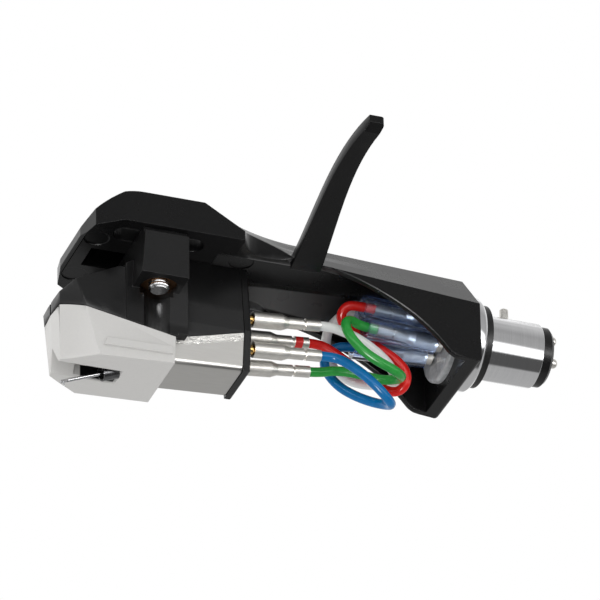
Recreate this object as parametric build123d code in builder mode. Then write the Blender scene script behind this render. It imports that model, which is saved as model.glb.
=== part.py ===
"""Moving-magnet cartridge bolted into a plug-in headshell, with its four lead wires.

Millimetres. X runs rearwards along the bayonet axis, Z is up, and the finger lift points to -Y.
The origin is on the bayonet axis, at the rear face of the gasket that meets the tonearm.
"""

import os
from math import cos, pi, radians, sin, tan

from build123d import *

# Bayonet
BARREL_RADIUS = 4.0
BARREL_BORE = 3.0
BARREL_LENGTH = 7.15
COLLAR_RADIUS = 5.8
COLLAR_CHAMFER = 0.6
COLLAR_LENGTH = 1.95
SPIGOT_RADIUS = 4.4
GASKET_RADIUS = 5.1
GASKET_THICKNESS = 0.7
END_RING_RADIUS = 3.7
END_RING_LENGTH = 1.45
END_RING_CHAMFER = 0.35
LOCK_PIN_RADIUS = 0.55
LOCK_PIN_X = 3.5
LOCK_PIN_TOP = 5.9
CONTACT_PITCH = 3.1
CONTACT_TIP_RADIUS = 0.6
CONTACT_TIP_LENGTH = 1.0
CONTACT_STUB_RADIUS = 0.4
CONTACT_STUB_LENGTH = 2.4
DISC_RADIUS = 5.3
DISC_THICKNESS = 0.85
DISC_ROUND = 0.4

# Headshell plate
FRONT_X = -52.5
PLATE_HALF_WIDTH = 9.54
PLATE_BOTTOM = 3.3
PLATE_THICKNESS = 4.35
PLATE_REAR_X = -33.6
NOSE_HALF_WIDTH = 3.82
NOSE_CORNER = (0.79, 3.54)
NOSE_HEIGHT = 1.5
BROW_LENGTH = 6.2
SIDE_CORNER_LENGTH = 2.95
EDGE_BEVEL = 0.35
SCREW_PITCH = 12.7
SCREW_X = -43.5
SLOT_WIDTH = 2.9
SLOT_LENGTH = 11.3
SLOT_FLOOR = 1.8
SLOT_RECESS_WIDTH = 5.2
POCKET_HALF_WIDTH = 2.05
POCKET_FRONT_X = -50.5
POCKET_DEPTH = 2.7
POCKET_BEVEL = 0.8
MARK_RADIUS = 1.5
MARK_DEPTH = 0.15
MARK_X = -50.6
MARK_Y = 4.3

# Headshell neck and hood
WALL = 0.85
REAR_WALL = 1.9
CEILING = 1.45
HOOD_HALF_WIDTH = 7.4
HOOD_BOTTOM = -6.68
HOOD_LIP_X = -5.2
HOOD_LIP_DROP = 0.28
HOOD_HEEL_X = -6.9
HOOD_HEEL_RISE = 1.08
HOOD_HEEL_SLOPE = (0.62, -0.78)
HOOD_MID_X = -13.1
HOOD_MID_Z = -0.35
NECK_EDGE_X = -22.5
NECK_EDGE_DROP = 0.3
SCOOP_X = -30.2
SCOOP_HALF_WIDTH = 6.35
SCOOP_REAR_X = -26.6
RIDGE_REAR_Z = 1.5
RIDGE_RISE = 0.075
ROOF_ANGLE = 49.0
ROOF_FLARE_X = -25.0
ROOF_FLARE_TOP = 23.0
ROOF_FLARE_LOW = 3.0
HOLLOW_FRONT_X = -35.6
HOLLOW_RAMP = 1.6
CEILING_MARK_X = -30.7

# Finger lift
LIFT_THICKNESS = 1.5
LIFT_LEFT = [(-26.7, -6.2), (-26.15, -14.5), (-25.4, -22.5), (-24.2, -27.4)]
LIFT_RIGHT = [(-22.9, -6.2), (-23.2, -14.5), (-23.1, -22.5), (-22.2, -27.4)]
LIFT_UNDERSIDE = [(-6.2, 2.5), (-14.5, 6.4), (-20.0, 8.65), (-26.2, 10.55)]
LIFT_END = [(-27.4, 11.3), (-27.4, 12.3)]

# Cartridge housing
HOUSING_REAR_X = -31.0
HOUSING_TOP_HALF = 3.1
HOUSING_WAIST_HALF = 4.1
WAIST_Z = -5.9
DRAFT = 0.14
BODY_NOSE_X = -55.0
BODY_NOSE_CREASE = 0.2
BODY_NOSE_HALF = 2.9
BODY_FACET = 2.0
BODY_NOSE_TOP = -0.5
COLUMN_HALF_WIDTH = 5.6
COLUMN_FRONT_X = -47.3
COLUMN_REAR_X = -40.8
SLOPE_TOP_X = -40.9
SLOPE_NOSE_Z = -4.15
NOSE_LOW_Z = -5.75
FACET_LOW_Z = -7.05
SEAM_REAR_Z = -9.1
PARTING_FRONT_Z = -8.25
PARTING_REAR_Z = -6.1
SIDE_LEAN = 0.05
CHEEK_LENGTH = 1.25
CHEEK_BOTTOM = -8.75
NOSE_SLIT = 0.3
NOSE_SLIT_DEPTH = 1.6
EAR_HALF_WIDTH = 9.45
EAR_BOTTOM = -3.3
EAR_AHEAD = 2.9
EAR_BEHIND = 2.8
EAR_RAKE = 0.4
EAR_PAD_HEIGHT = 0.8
EAR_PAD_SETBACK = 0.7
GROOVE_RADIUS = 1.8

# Screws and inserts
SCREW_RADIUS = 1.25
SCREW_END_Z = -3.75
SCREW_HEAD_RADIUS = 2.1
SCREW_HEAD_HEIGHT = 1.9
SCREW_SLOT = 0.6
SCREW_SLOT_DEPTH = 0.8
SCREW_END_CHAMFER = 0.25
WASHER_RADIUS = 2.35
WASHER_THICKNESS = 0.4
INSERT_RADIUS = 2.2
INSERT_LENGTH = 4.4
INSERT_RECESS = 0.6

# Shield case and what is in it
SHIELD_FRONT_X = -44.5
SHIELD_WALL = 0.4
SHIELD_BOTTOM_REAR = -11.0
SHIELD_BOTTOM_FALL = 0.067
SHIELD_BEND = 0.8
TERMINAL_PLATE_THICKNESS = 0.9
TERMINAL_PLATE_RIM = 0.12
TERMINAL_PLATE_ROUND = 0.25
TERMINAL_Y = 2.2
TERMINAL_TOP_Z = -3.0
TERMINAL_LOW_Z = -7.2
TERMINAL_RADIUS = 0.55
TERMINAL_LENGTH = 3.0
COIL_RADIUS = 0.95
COIL_LENGTH = 5.0
COIL_REAR_X = -34.0
COIL_Y = 1.75
COIL_Z = -9.7
CORE_SIDE = 0.9
CORE_FRONT_X = -44.0
SCREEN_THICKNESS = 0.3
SCREEN_LENGTH = 8.0
SCREEN_HEIGHT = 1.7

# Stylus holder
HOLDER_REAR_X = -41.04
HOLDER_BOTTOM_FRONT = -12.95
HOLDER_BOTTOM_REAR = -12.5
HOLDER_LOW_HALF = 4.86
HOLDER_TOE = 0.35
HOLDER_TOE_HALF = 2.05
HOLDER_TOE_FACET = 4.05
RIB_FRONT_X = -50.0
RIB_REAR_X = -41.4
RIB_TOP_Z = -10.7
RIB_RISE = 0.2
RIB_HEIGHT = 1.0
RIB_RAKE = 0.4
RIB_PROUD = 0.22
VEE_APEX_Z = -10.3
VEE_HALF_WIDTH = 1.55
TROUGH_HALF_WIDTH = 2.9
TROUGH_DEPTH = 0.14
TROUGH_REAR_X = -46.3
TROUGH_END_SLOPE = 0.6
STYLUS_SLOT_HALF = 1.45
STYLUS_SLOT_TOP = -10.45
STYLUS_SLOT_FRONT_X = -51.7
STYLUS_SLOT_REAR_X = -46.7

# Stylus plug, suspension and cantilever
PLUG_LENGTH = 1.6
PLUG_WALL = 0.25
PLUG_BOTTOM = -12.6
PIVOT_X = -48.2
PIVOT_Z = -12.44
CANTILEVER_ANGLE = 21.9
TUBE_RADIUS = 0.95
TUBE_WALL = 0.2
TUBE_AHEAD = 0.5
TUBE_BEHIND = 1.6
DAMPER_GAP = 0.11
DAMPER_BORE_FIT = 0.1
DAMPER_THICKNESS = 0.6
DAMPER_AHEAD = 0.15
CANTILEVER_RADIUS = 0.23
CANTILEVER_WALL = 0.08
CANTILEVER_REACH = 5.95
CANTILEVER_BEHIND = 0.5
PADDLE_LENGTH = 0.9
PADDLE_THICKNESS = 0.26
TIP_RADIUS = 0.13
TIP_LENGTH = 0.62
TIP_POINT = 0.02
MAGNET_SIDE = 0.42
MAGNET_LENGTH = 0.7
TENSION_WIRE_RADIUS = 0.1

# Clips, sleeves and leads
CLIP_RADIUS = 1.0
CLIP_BORE = 0.84
CLIP_STANDOFF = 0.8
CLIP_BARREL = 3.75
CLIP_NECK_RADIUS = 0.5
CLIP_TAPER = 0.8
CLIP_CRIMP_RADIUS = 0.72
CLIP_CRIMP = 1.9
CLIP_WAIST = 0.3
REAR_CLIP_STANDOFF = 0.3
SLEEVE_RADIUS = 1.5
SLEEVE_STANDOFF = 1.2
SLEEVE_LENGTH = 9.2
LEAD_RADIUS = 0.6

# Clearances
FIT = 0.02
SLIDE_FIT = 0.05
PULL_FIT = 0.15

# Where each colour of lead goes: its cartridge pin, its bayonet contact, how its front clip and
# its sleeve lean, and the points of its route between the two clips
LEADS = {
    "white": {
        "terminal": (-1, TERMINAL_TOP_Z),
        "contact": (1, 1),
        "front_lean": (0.0, 0.08),
        "sleeve_lean": (0.0, 0.13),
        "route": [
            (-18.9, -2.25, -2.4), (-16.7, -2.3, -3.1), (-14.5, -2.0, -4.15), (-12.5, -1.5, -5.35),
            (-11.1, -0.3, -6.4), (-10.3, 1.6, -6.0), (-10.9, 3.2, -5.6), (-12.6, 4.2, -5.4),
            (-14.8, 4.6, -5.2), (-16.7, 4.9, -4.1), (-17.8, 5.0, -2.2), (-18.2, 4.8, 0.0),
            (-18.0, 4.0, 1.7),
        ],
    },
    "red": {
        "terminal": (1, TERMINAL_TOP_Z),
        "contact": (-1, 1),
        "front_lean": (-0.04, 0.06),
        "sleeve_lean": (-0.035, 0.01),
        "route": [
            (-19.0, 1.7, -2.8), (-16.8, 1.9, -3.9), (-14.3, 2.1, -5.5), (-12.2, 1.7, -7.2),
            (-10.8, 0.6, -8.1), (-9.9, -0.4, -7.5), (-9.8, -0.8, -5.9), (-11.1, -1.0, -4.5),
            (-12.8, -0.8, -3.4), (-14.4, -0.3, -2.1), (-16.0, -0.05, -1.05), (-17.4, -0.05, -0.6),
            (-18.4, -0.9, 0.45), (-17.9, -1.8, 1.5),
        ],
    },
    "green": {
        "terminal": (1, TERMINAL_LOW_Z),
        "contact": (-1, -1),
        "front_lean": (-0.06, 0.07),
        "sleeve_lean": (-0.1, 0.0),
        "route": [
            (-18.4, 1.0, -6.1), (-15.9, 0.4, -6.4), (-13.4, -0.1, -7.1), (-11.7, -1.3, -7.5),
            (-11.4, -3.2, -8.1), (-12.5, -5.0, -8.8), (-13.9, -5.8, -8.7), (-15.6, -5.9, -8.1),
            (-17.5, -5.9, -7.0), (-19.0, -5.8, -5.3), (-19.5, -5.4, -3.6), (-18.9, -4.5, -2.3),
            (-17.8, -3.5, -1.5),
        ],
    },
    "blue": {
        "terminal": (-1, TERMINAL_LOW_Z),
        "contact": (1, -1),
        "front_lean": (0.0, 0.08),
        "sleeve_lean": (0.045, -0.02),
        "route": [
            (-19.1, -2.6, -6.7), (-18.0, -3.5, -7.9), (-16.7, -4.3, -9.4), (-15.2, -4.6, -10.9),
            (-13.6, -4.0, -12.0), (-12.5, -2.3, -11.7), (-12.7, -0.5, -10.7), (-13.8, 1.0, -9.7),
            (-15.4, 2.1, -8.6), (-17.2, 2.8, -7.3), (-18.5, 3.2, -5.6), (-19.0, 3.4, -4.0),
            (-18.7, 3.2, -2.8), (-17.9, 2.7, -2.0),
        ],
    },
}
ROUTE_END_RUN = 1.3
ROUTE_SLEEVE_RUN = 2.2
BEND_SHARE = 0.45

# Sizes that follow from the ones above
PLATE_TOP = PLATE_BOTTOM + PLATE_THICKNESS
CEILING_Z = PLATE_TOP - CEILING
COLLAR_REAR_X = -GASKET_THICKNESS
SHELL_REAR_X = COLLAR_REAR_X - COLLAR_LENGTH
HOLLOW_REAR_X = SHELL_REAR_X - REAR_WALL
HOOD_HALF_INSIDE = HOOD_HALF_WIDTH - WALL
NECK_HALF_INSIDE = SCOOP_HALF_WIDTH - WALL
SCREW_Y = SCREW_PITCH / 2
CONTACT_Y = CONTACT_PITCH / 2
DISC_FRONT_X = HOLLOW_REAR_X - DISC_THICKNESS
SLOT_FLOOR_Z = PLATE_BOTTOM + SLOT_FLOOR
HEAD_UNDERSIDE_Z = SLOT_FLOOR_Z + WASHER_THICKNESS
EAR_FRONT_X = SCREW_X - EAR_AHEAD
EAR_REAR_X = SCREW_X + EAR_BEHIND
EAR_TOP = PLATE_BOTTOM - EAR_PAD_HEIGHT
INSERT_BOTTOM = EAR_BOTTOM + INSERT_RECESS
HOUSING_FACE_X = HOUSING_REAR_X - TERMINAL_PLATE_THICKNESS
FACET_X = BODY_NOSE_X + BODY_NOSE_CREASE
TOE_X = BODY_NOSE_X + HOLDER_TOE
PLUG_HALF_WIDTH = STYLUS_SLOT_HALF - FIT
DAMPER_RADIUS = TUBE_RADIUS - TUBE_WALL - DAMPER_GAP
CLIP_LENGTH = CLIP_BARREL + CLIP_TAPER + 2 * CLIP_CRIMP + CLIP_WAIST
SIDES = {"right": -1, "left": 1}
OVERCUT = 3.0


def shield_half(z):
    """Half-width of the shield case at a height, with the housing's draft."""
    return HOUSING_WAIST_HALF + DRAFT * (z - WAIST_Z)


def shield_bottom(x):
    """Height of the shield case's underside, which falls towards the front."""
    return SHIELD_BOTTOM_REAR + SHIELD_BOTTOM_FALL * (x - HOUSING_FACE_X)


def holder_half(z):
    """Half-width of the stylus holder at a height."""
    return HOLDER_LOW_HALF + DRAFT * (z - HOLDER_BOTTOM_FRONT)


def facet_spots(z):
    """Where the nose's slanted facets start and end at a height, on the holder and the housing."""
    share = (z - HOLDER_BOTTOM_FRONT) / (NOSE_LOW_Z - HOLDER_BOTTOM_FRONT)
    toe_x = TOE_X + share * (BODY_NOSE_X - TOE_X)
    corner_y = HOLDER_TOE_HALF + share * (BODY_NOSE_HALF - HOLDER_TOE_HALF)
    facet = HOLDER_TOE_FACET + share * (BODY_FACET - HOLDER_TOE_FACET)
    return toe_x, toe_x + BODY_NOSE_CREASE, corner_y, toe_x + BODY_NOSE_CREASE + facet


def body_plan(z, front_half, rear_half, rear_x):
    """Half of the tapering nose's outline at a height."""
    toe_x, corner_x, corner_y, facet_x = facet_spots(z)
    return [(toe_x, 0), (corner_x, corner_y), (facet_x, front_half), (rear_x, rear_half), (rear_x, 0)]


def housing_half(x, z):
    """Half-width of the housing's side, which leans in above the seam with the holder."""
    bend_x = facet_spots(FACET_LOW_Z)[-1]
    seam_z = FACET_LOW_Z + (SEAM_REAR_Z - FACET_LOW_Z) * (x - bend_x) / (COLUMN_REAR_X - bend_x)
    return holder_half(seam_z) - SIDE_LEAN * (z - seam_z)


def roof_half(x, z):
    """Half-width at which the sloping roof of the hood stands over a point of its side."""
    ridge = RIDGE_REAR_Z + RIDGE_RISE * (SHELL_REAR_X - x)
    return HOOD_HALF_WIDTH - (z - ridge) / tan(radians(ROOF_ANGLE))


def roof_wedges(inset):
    """The two wedges that slope the roof, moved inwards by a wall for the hollow."""
    low_z = RIDGE_REAR_Z - OVERCUT
    high_z = PLATE_TOP + OVERCUT
    outside = PLATE_HALF_WIDTH + 2 * OVERCUT
    with BuildPart() as wedges:
        for z, flare in ((low_z, ROOF_FLARE_LOW), (high_z, ROOF_FLARE_TOP)):
            start_y = roof_half(ROOF_FLARE_X, z) - inset
            rear_y = roof_half(OVERCUT, z) - inset
            with BuildSketch(Plane.XY.offset(z)):
                with BuildLine():
                    side = Line((OVERCUT, rear_y), (ROOF_FLARE_X, start_y))
                    bend = TangentArc(side @ 1, (ROOF_FLARE_X - flare, outside), tangent=side % 1)
                    Polyline(bend @ 1, (OVERCUT, outside), side @ 0)
                make_face()
        loft(ruled=True)
        mirror(about=Plane.XZ)
    return wedges.part


def hood_space():
    """The hollow under the neck and hood, open at the bottom."""
    roof = roof_wedges(WALL / sin(radians(ROOF_ANGLE)))
    depth = CEILING_Z - HOOD_BOTTOM + OVERCUT
    with BuildPart() as space:
        with BuildSketch(Plane.XY.offset(CEILING_Z - depth)):
            with BuildLine():
                Polyline(
                    (HOLLOW_FRONT_X, 0),
                    (HOLLOW_FRONT_X, NECK_HALF_INSIDE),
                    (SCOOP_REAR_X, NECK_HALF_INSIDE),
                    (NECK_EDGE_X, HOOD_HALF_INSIDE),
                    (HOLLOW_REAR_X, HOOD_HALF_INSIDE),
                    (HOLLOW_REAR_X, 0),
                )
                mirror(about=Plane.XZ)
            make_face()
        extrude(amount=depth)
        with BuildSketch(Plane.XZ):
            with BuildLine():
                Polyline(
                    (HOLLOW_FRONT_X, PLATE_BOTTOM),
                    (HOLLOW_FRONT_X + HOLLOW_RAMP, CEILING_Z),
                    (HOLLOW_FRONT_X, CEILING_Z),
                    close=True,
                )
            make_face()
        extrude(amount=PLATE_HALF_WIDTH, both=True, mode=Mode.SUBTRACT)
        add(roof, mode=Mode.SUBTRACT)
    return space.part


def finger_lift():
    """The finger lift: its plan and its bowed side view, cut from each other."""
    upper = [(y, z + LIFT_THICKNESS) for y, z in LIFT_UNDERSIDE]
    with BuildPart() as lift:
        with BuildSketch():
            with BuildLine():
                left = Spline(*LIFT_LEFT)
                right = Spline(*LIFT_RIGHT)
                Line(left @ 1, right @ 1)
                Line(left @ 0, right @ 0)
            make_face()
        extrude(amount=LIFT_END[-1][1] + OVERCUT)
        with BuildSketch(Plane.YZ.offset(NECK_EDGE_X + OVERCUT)):
            with BuildLine():
                low = Spline(*LIFT_UNDERSIDE)
                high = Spline(*upper)
                Polyline(low @ 1, *LIFT_END, high @ 1)
                Line(low @ 0, high @ 0)
            make_face()
        extrude(amount=-4 * OVERCUT, mode=Mode.INTERSECT)
    return lift.part


def shield_form(inset, overcut):
    """The shield case's form, or the space in it, which runs out at the top and the back."""
    front_x = SHIELD_FRONT_X + inset
    rear_x = HOUSING_FACE_X + overcut
    top_z = PARTING_REAR_Z + overcut
    low_z = shield_bottom(front_x) + inset
    with BuildPart() as form:
        with BuildSketch(Plane.YZ.offset(rear_x)):
            with BuildLine():
                Polyline(
                    (0, top_z),
                    (shield_half(top_z) - inset, top_z),
                    (shield_half(low_z) - inset, low_z),
                    (0, low_z),
                )
                mirror(about=Plane.YZ)
            make_face()
        extrude(amount=front_x - rear_x)
        with BuildSketch(Plane.XZ):
            with BuildLine():
                Polyline(
                    (rear_x, top_z),
                    (COLUMN_REAR_X, PARTING_FRONT_Z + overcut),
                    (COLUMN_REAR_X, SEAM_REAR_Z + overcut),
                    (front_x, SEAM_REAR_Z + overcut),
                    (front_x, low_z),
                    (rear_x, shield_bottom(rear_x) + inset),
                    close=True,
                )
            make_face()
        extrude(amount=2 * HOUSING_WAIST_HALF, both=True, mode=Mode.INTERSECT)
        underside = form.faces().sort_by(Axis.Z)[0]
        fillet(underside.edges().sort_by(SortBy.LENGTH)[-2:], SHIELD_BEND - inset)
    return form.part


def stylus_trough():
    """The notch in the holder's underside: a deep vee in a shallow trough with a sloping end."""
    low_z = HOLDER_BOTTOM_FRONT - OVERCUT
    ledge_z = HOLDER_BOTTOM_FRONT + TROUGH_DEPTH
    rear_x = TROUGH_REAR_X + TROUGH_END_SLOPE * OVERCUT
    apex_x = TROUGH_REAR_X - TROUGH_END_SLOPE * (VEE_APEX_Z - HOLDER_BOTTOM_FRONT)
    with BuildPart() as notch:
        with BuildSketch(Plane.YZ.offset(rear_x)):
            with BuildLine():
                Polyline(
                    (0, VEE_APEX_Z),
                    (VEE_HALF_WIDTH, ledge_z),
                    (TROUGH_HALF_WIDTH, HOLDER_BOTTOM_FRONT),
                    (TROUGH_HALF_WIDTH, low_z),
                    (0, low_z),
                )
                mirror(about=Plane.YZ)
            make_face()
        extrude(amount=BODY_NOSE_X - rear_x)
        with BuildSketch(Plane.XZ):
            with BuildLine():
                Polyline(
                    (BODY_NOSE_X, VEE_APEX_Z),
                    (apex_x, VEE_APEX_Z),
                    (rear_x, low_z),
                    (BODY_NOSE_X, low_z),
                    close=True,
                )
            make_face()
        extrude(amount=TROUGH_HALF_WIDTH, both=True, mode=Mode.INTERSECT)
    return notch.part


# Headshell: slotted plate, neck, hood and finger lift in one casting
outer_roof = roof_wedges(0)
hollow = hood_space()
lift_arm = finger_lift()

with BuildPart() as headshell:
    with BuildSketch(Plane.XY.offset(HOOD_BOTTOM)):
        with BuildLine():
            corner_x = FRONT_X + NOSE_CORNER[0]
            corner_y = NOSE_HALF_WIDTH + NOSE_CORNER[1]
            Polyline(
                (FRONT_X, 0),
                (FRONT_X, NOSE_HALF_WIDTH),
                (corner_x, corner_y),
                (corner_x + SIDE_CORNER_LENGTH, PLATE_HALF_WIDTH),
                (PLATE_REAR_X, PLATE_HALF_WIDTH),
            )
            ThreePointArc(
                (PLATE_REAR_X, PLATE_HALF_WIDTH),
                (SCOOP_X, SCOOP_HALF_WIDTH),
                (SCOOP_REAR_X, HOOD_HALF_WIDTH),
            )
            Polyline((SCOOP_REAR_X, HOOD_HALF_WIDTH), (SHELL_REAR_X, HOOD_HALF_WIDTH), (SHELL_REAR_X, 0))
            mirror(about=Plane.XZ)
        make_face()
    extrude(amount=PLATE_TOP - HOOD_BOTTOM)
    with BuildSketch(Plane.XZ):
        with BuildLine():
            heel = (HOOD_HEEL_X, HOOD_BOTTOM + HOOD_HEEL_RISE)
            lip = (HOOD_LIP_X, HOOD_BOTTOM + HOOD_LIP_DROP)
            brow = (FRONT_X + BROW_LENGTH, PLATE_TOP)
            nose_top = (FRONT_X, PLATE_BOTTOM + NOSE_HEIGHT)
            Polyline((PLATE_REAR_X, PLATE_BOTTOM), (FRONT_X, PLATE_BOTTOM), nose_top)
            TangentArc(brow, nose_top, tangent=(-1, 0))
            Polyline(brow, (SHELL_REAR_X, PLATE_TOP), (SHELL_REAR_X, HOOD_BOTTOM), lip)
            Spline(
                (PLATE_REAR_X, PLATE_BOTTOM),
                (NECK_EDGE_X, PLATE_BOTTOM - NECK_EDGE_DROP),
                (HOOD_MID_X, HOOD_MID_Z),
                heel,
                tangents=((1, 0), HOOD_HEEL_SLOPE),
            )
            TangentArc(heel, lip, tangent=HOOD_HEEL_SLOPE)
        make_face()
    extrude(amount=PLATE_HALF_WIDTH + OVERCUT, both=True, mode=Mode.INTERSECT)
    add(outer_roof, mode=Mode.SUBTRACT)
    plate_edges = headshell.edges().filter_by(GeomType.LINE).filter_by_position(
        Axis.Z, PLATE_BOTTOM, PLATE_BOTTOM
    )
    chamfer(plate_edges.filter_by_position(Axis.X, FRONT_X, PLATE_REAR_X - EDGE_BEVEL), EDGE_BEVEL)
    add(lift_arm)
    add(hollow, mode=Mode.SUBTRACT)
    with BuildSketch(Plane.XY.offset(PLATE_BOTTOM)):
        with Locations((SCREW_X, SCREW_Y), (SCREW_X, -SCREW_Y)):
            SlotOverall(SLOT_LENGTH, SLOT_WIDTH)
    extrude(amount=PLATE_THICKNESS, mode=Mode.SUBTRACT)
    with BuildSketch(Plane.XY.offset(SLOT_FLOOR_Z)):
        with Locations((SCREW_X, SCREW_Y), (SCREW_X, -SCREW_Y)):
            SlotOverall(SLOT_LENGTH + SLOT_RECESS_WIDTH - SLOT_WIDTH, SLOT_RECESS_WIDTH)
    extrude(amount=PLATE_THICKNESS, mode=Mode.SUBTRACT)
    with BuildSketch(Plane.XZ):
        with BuildLine():
            Polyline(
                (POCKET_FRONT_X, PLATE_BOTTOM),
                (POCKET_FRONT_X + POCKET_BEVEL, PLATE_BOTTOM + POCKET_DEPTH),
                (HOLLOW_FRONT_X + HOLLOW_RAMP, PLATE_BOTTOM + POCKET_DEPTH),
                (HOLLOW_FRONT_X + HOLLOW_RAMP, PLATE_BOTTOM),
                close=True,
            )
        make_face()
    extrude(amount=POCKET_HALF_WIDTH, both=True, mode=Mode.SUBTRACT)
    with BuildSketch(Plane.XY.offset(PLATE_BOTTOM)):
        with Locations((MARK_X, MARK_Y), (MARK_X, -MARK_Y)):
            Circle(MARK_RADIUS)
    extrude(amount=MARK_DEPTH, mode=Mode.SUBTRACT)
    with BuildSketch(Plane.XY.offset(CEILING_Z)):
        with Locations((CEILING_MARK_X, 0)):
            Circle(MARK_RADIUS)
    extrude(amount=MARK_DEPTH, mode=Mode.SUBTRACT)
    with BuildSketch(Plane.YZ.offset(HOLLOW_REAR_X)):
        Circle(SPIGOT_RADIUS + FIT)
    extrude(amount=REAR_WALL, mode=Mode.SUBTRACT)

# Bayonet barrel with its collar and the spigot that fits the hood's rear wall
with BuildPart() as bayonet_barrel:
    with BuildSketch(Plane.XZ):
        with BuildLine():
            Polyline(
                (HOLLOW_REAR_X, BARREL_BORE),
                (HOLLOW_REAR_X, SPIGOT_RADIUS),
                (SHELL_REAR_X, SPIGOT_RADIUS),
                (SHELL_REAR_X, COLLAR_RADIUS),
                (COLLAR_REAR_X - COLLAR_CHAMFER, COLLAR_RADIUS),
                (COLLAR_REAR_X, COLLAR_RADIUS - COLLAR_CHAMFER),
                (COLLAR_REAR_X, BARREL_RADIUS),
                (BARREL_LENGTH, BARREL_RADIUS),
                (BARREL_LENGTH, BARREL_BORE),
                close=True,
            )
        make_face()
    revolve(axis=Axis.X)
    with BuildSketch(Plane.XY):
        with Locations((LOCK_PIN_X, 0)):
            Circle(LOCK_PIN_RADIUS + FIT)
    extrude(amount=COLLAR_RADIUS, mode=Mode.SUBTRACT)

with BuildPart() as gasket:
    with BuildSketch(Plane.YZ.offset(COLLAR_REAR_X)):
        Circle(GASKET_RADIUS)
        Circle(BARREL_RADIUS + FIT, mode=Mode.SUBTRACT)
    extrude(amount=GASKET_THICKNESS)

with BuildPart() as locking_pin:
    with BuildSketch(Plane.XY.offset(BARREL_BORE)):
        with Locations((LOCK_PIN_X, 0)):
            Circle(LOCK_PIN_RADIUS)
    extrude(amount=LOCK_PIN_TOP - BARREL_BORE)
    chamfer(locking_pin.faces().sort_by(Axis.Z)[-1].edges(), LOCK_PIN_RADIUS / 4)

# Insulator in the barrel, with the end ring and the holes for the contacts
with BuildPart() as contact_insulator:
    with BuildSketch(Plane.YZ.offset(HOLLOW_REAR_X)):
        Circle(BARREL_BORE - FIT)
    extrude(amount=BARREL_LENGTH - HOLLOW_REAR_X)
    with BuildSketch(Plane.YZ.offset(BARREL_LENGTH)):
        Circle(END_RING_RADIUS)
    extrude(amount=END_RING_LENGTH)
    chamfer(contact_insulator.faces().sort_by(Axis.X)[-1].outer_wire().edges(), END_RING_CHAMFER)
    with BuildSketch(Plane.YZ.offset(HOLLOW_REAR_X)):
        with GridLocations(CONTACT_PITCH, CONTACT_PITCH, 2, 2):
            Circle(CONTACT_TIP_RADIUS + FIT)
    extrude(amount=BARREL_LENGTH + END_RING_LENGTH - HOLLOW_REAR_X, mode=Mode.SUBTRACT)

with BuildPart() as terminal_disc:
    with BuildSketch(Plane.YZ.offset(DISC_FRONT_X)):
        Circle(DISC_RADIUS)
    extrude(amount=DISC_THICKNESS)
    fillet(terminal_disc.faces().sort_by(Axis.X)[0].edges(), DISC_ROUND)
    with BuildSketch(Plane.YZ.offset(DISC_FRONT_X)):
        with GridLocations(CONTACT_PITCH, CONTACT_PITCH, 2, 2):
            Circle(CONTACT_STUB_RADIUS + FIT)
    extrude(amount=DISC_THICKNESS, mode=Mode.SUBTRACT)

# Cartridge housing: sloping nose, two columns with mounting ears, and the tapered rear body
seam_bend_x = facet_spots(FACET_LOW_Z)[-1]
cheek_inner = HOUSING_WAIST_HALF + FIT

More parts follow.
